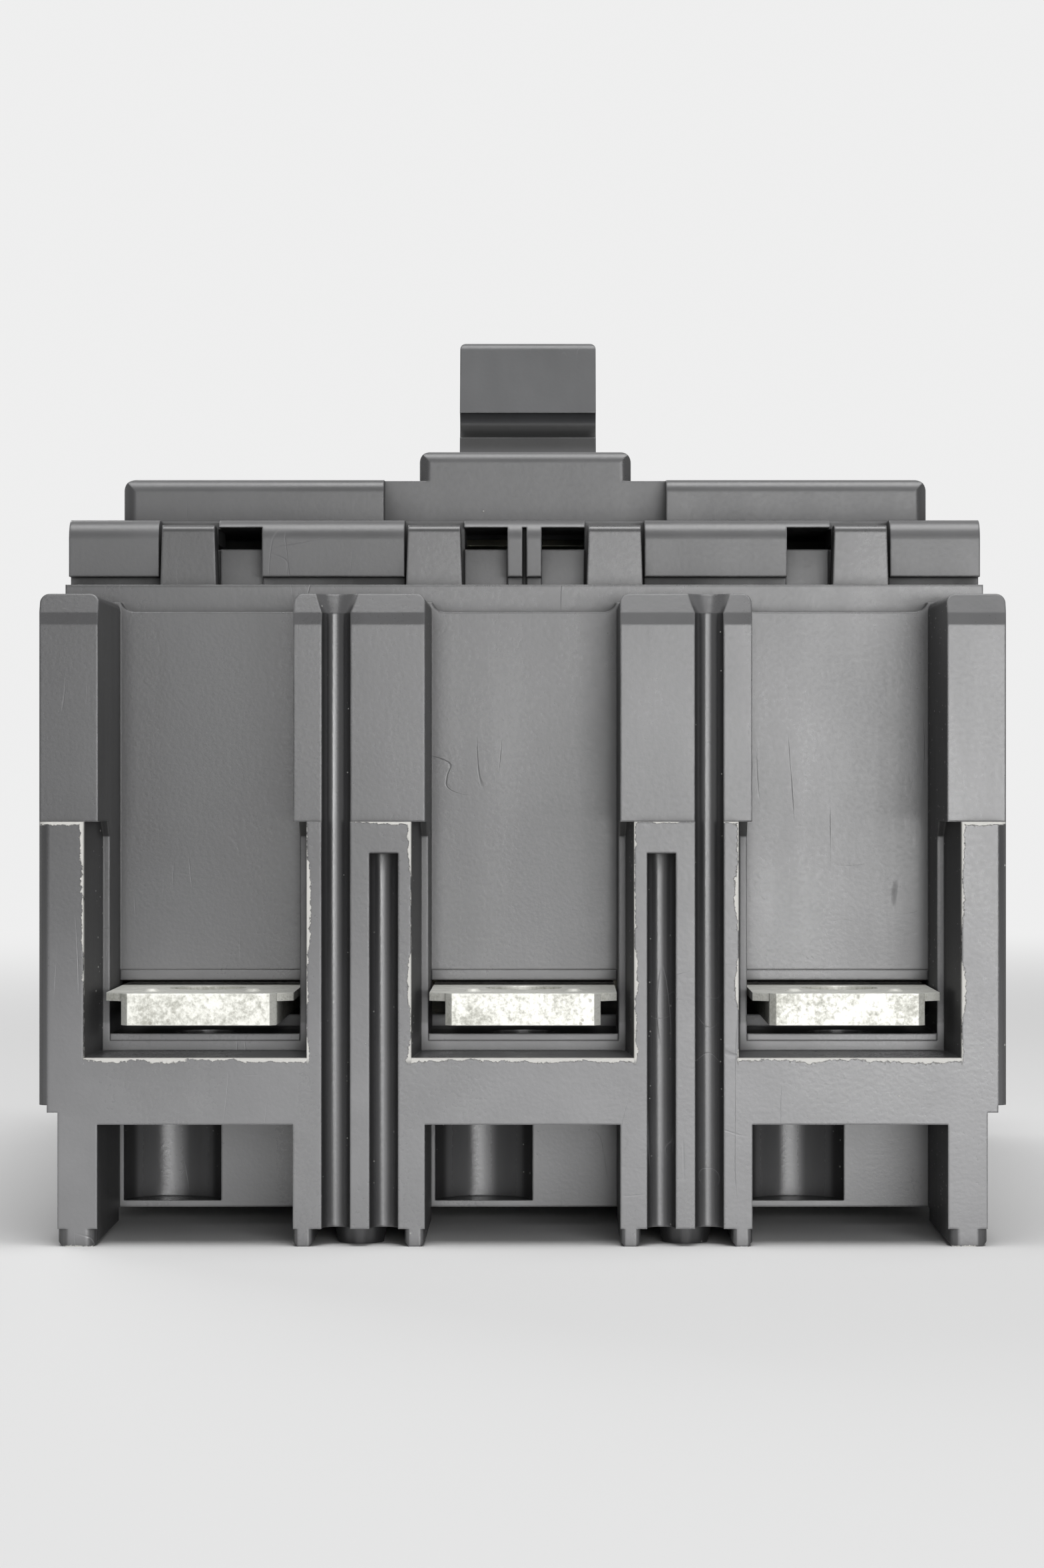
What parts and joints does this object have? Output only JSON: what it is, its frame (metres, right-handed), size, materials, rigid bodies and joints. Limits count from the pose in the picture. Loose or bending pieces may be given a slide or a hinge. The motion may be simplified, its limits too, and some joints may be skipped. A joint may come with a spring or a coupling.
{
  "type": "molded case circuit breaker",
  "caption": "Black molded case circuit breaker with open terminal wells at both ends, rolled cover ends with gas vents, a raised platform and a toggle handle.",
  "frame": {"origin": "middle of the footprint, on the plane the feet stand on", "axes": "+Z out of the front, where the handle is; +Y from the line end to the load end; +X across the poles"},
  "size_m": [0.105, 0.16, 0.1077],
  "materials": {
    "base_plastic": "satin",
    "cover_plastic": "satin",
    "handle_plastic": "satin",
    "bar_plastic": "matte",
    "button_plastic": "satin",
    "tin_plate": "bright tin plate",
    "arm_copper": "bare copper",
    "braid_copper": "braided copper",
    "contact_silver": "silver alloy",
    "fibre_board": "vulcanised fibre",
    "plate_steel": "mild steel",
    "zinc_steel": "zinc plated",
    "hard_steel": "hardened",
    "screw_steel": "zinc plated",
    "spring_wire": "bright wire",
    "heater_metal": "nickel alloy",
    "bimetal_strip": "bright",
    "screw_brass": "bright"
  },
  "bodies": {
    "housing": {"base": "base_plastic", "cover": "cover_plastic", "line_strap_1": "tin_plate", "line_strap_2": "tin_plate", "line_strap_3": "tin_plate", "load_strap_1": "tin_plate", "load_strap_2": "tin_plate", "load_strap_3": "tin_plate", "line_terminal_plates": "tin_plate", "load_terminal_plates": "tin_plate", "braid_1": "braid_copper", "braid_2": "braid_copper", "braid_3": "braid_copper", "stationary_contacts": "contact_silver", "arc_chute_sides_1": "fibre_board", "arc_chute_sides_2": "fibre_board", "arc_chute_sides_3": "fibre_board", "arc_plates_1": "plate_steel", "arc_plates_2": "plate_steel", "arc_plates_3": "plate_steel", "magnet_1": "plate_steel", "magnet_2": "plate_steel", "magnet_3": "plate_steel", "mechanism_frame_left": "zinc_steel", "mechanism_frame_right": "zinc_steel", "handle_pivot_pins": "hard_steel", "frame_spacer": "hard_steel", "cradle_pivot_pin": "hard_steel", "trip_unit_rivets": "hard_steel", "frame_screws": "screw_steel", "cover_screws": "screw_steel", "conductor_screws": "screw_steel", "trip_button_spring": "spring_wire", "heater_1": "heater_metal", "heater_2": "heater_metal", "heater_3": "heater_metal", "bimetal_1": "bimetal_strip", "bimetal_2": "bimetal_strip", "bimetal_3": "bimetal_strip", "calibration_screws": "screw_brass"},
    "handle": {"handle": "handle_plastic", "handle_yoke": "zinc_steel", "spring_anchor_pin": "hard_steel"},
    "springs": {"operating_springs": "spring_wire"},
    "crossbar": {"crossbar": "bar_plastic", "contact_arm_1": "arm_copper", "contact_arm_2": "arm_copper", "contact_arm_3": "arm_copper", "moving_contacts": "contact_silver", "crossbar_link_pin": "hard_steel"},
    "lower_link": {"lower_links": "zinc_steel"},
    "upper_link": {"upper_links": "zinc_steel", "knee_pin": "hard_steel"},
    "cradle": {"cradle": "hard_steel", "cradle_link_pin": "hard_steel"},
    "trip_bar": {"trip_bar": "bar_plastic"},
    "trip_button": {"trip_button": "button_plastic"},
    "armature_1": {"armature_1": "zinc_steel"},
    "armature_2": {"armature_2": "zinc_steel"},
    "armature_3": {"armature_3": "zinc_steel"}
  },
  "joints": [
    {"name": "handle_hinge", "type": "hinge", "parent": "housing", "child": "handle", "pos_m": [0, 0, 0.042], "axis": [1, 0, 0], "range_deg": [0, 32]},
    {"name": "spring_hinge", "type": "hinge", "parent": "handle", "child": "springs", "pos_m": [0, 0.00992, 0.07661], "axis": [1, 0, 0], "range_deg": [-8.04, 0], "deforming": ["operating_springs"]},
    {"name": "crossbar_hinge", "type": "hinge", "parent": "housing", "child": "crossbar", "pos_m": [0, 0.002, 0.0335], "axis": [1, 0, 0], "range_deg": [0, 28.02], "deforming": ["braid_1", "braid_2", "braid_3"]},
    {"name": "lower_link_hinge", "type": "hinge", "parent": "crossbar", "child": "lower_link", "pos_m": [0, -0.00742, 0.04134], "axis": [1, 0, 0], "range_deg": [0, 4.7]},
    {"name": "knee_hinge", "type": "hinge", "parent": "lower_link", "child": "upper_link", "pos_m": [0, 0.00361, 0.04588], "axis": [1, 0, 0], "range_deg": [-59.57, 0]},
    {"name": "trip_button_slide", "type": "slide", "parent": "housing", "child": "trip_button", "axis": [0, 0, -1], "range_m": [0, 0.0018], "stiffness_N_per_m": 600, "springref_m": -0.001, "deforming": ["trip_button_spring"]},
    {"name": "trip_bar_hinge", "type": "hinge", "parent": "housing", "child": "trip_bar", "pos_m": [0, 0.03, 0.048], "axis": [1, 0, 0], "range_deg": [-20.02, 0]},
    {"name": "cradle_hinge", "type": "hinge", "parent": "housing", "child": "cradle", "pos_m": [0, -0.014, 0.057], "axis": [1, 0, 0], "range_deg": [0, 5.02]},
    {"name": "armature_hinge_1", "type": "hinge", "parent": "housing", "child": "armature_1", "pos_m": [-0.0355, 0.0397, 0.0488], "axis": [1, 0, 0], "range_deg": [-7, 0], "stiffness_Nm_per_rad": 0.02, "springref_deg": 2.86},
    {"name": "armature_hinge_2", "type": "hinge", "parent": "housing", "child": "armature_2", "pos_m": [0, 0.0397, 0.0488], "axis": [1, 0, 0], "range_deg": [-7, 0], "stiffness_Nm_per_rad": 0.02, "springref_deg": 2.86},
    {"name": "armature_hinge_3", "type": "hinge", "parent": "housing", "child": "armature_3", "pos_m": [0.0355, 0.0397, 0.0488], "axis": [1, 0, 0], "range_deg": [-7, 0], "stiffness_Nm_per_rad": 0.02, "springref_deg": 2.86}
  ],
  "couplings": [
    {"joint": "spring_hinge", "follows": "handle_hinge", "ratio": -0.25076},
    {"joint": "crossbar_hinge", "follows": "handle_hinge", "ratio": 0.875},
    {"joint": "lower_link_hinge", "follows": "handle_hinge", "ratio": 0.14617},
    {"joint": "knee_hinge", "follows": "handle_hinge", "ratio": -1.861},
    {"joint": "trip_bar_hinge", "follows": "trip_button_slide", "rad_per_m": -193.93},
    {"joint": "cradle_hinge", "follows": "trip_button_slide", "rad_per_m": 48.481}
  ]
}
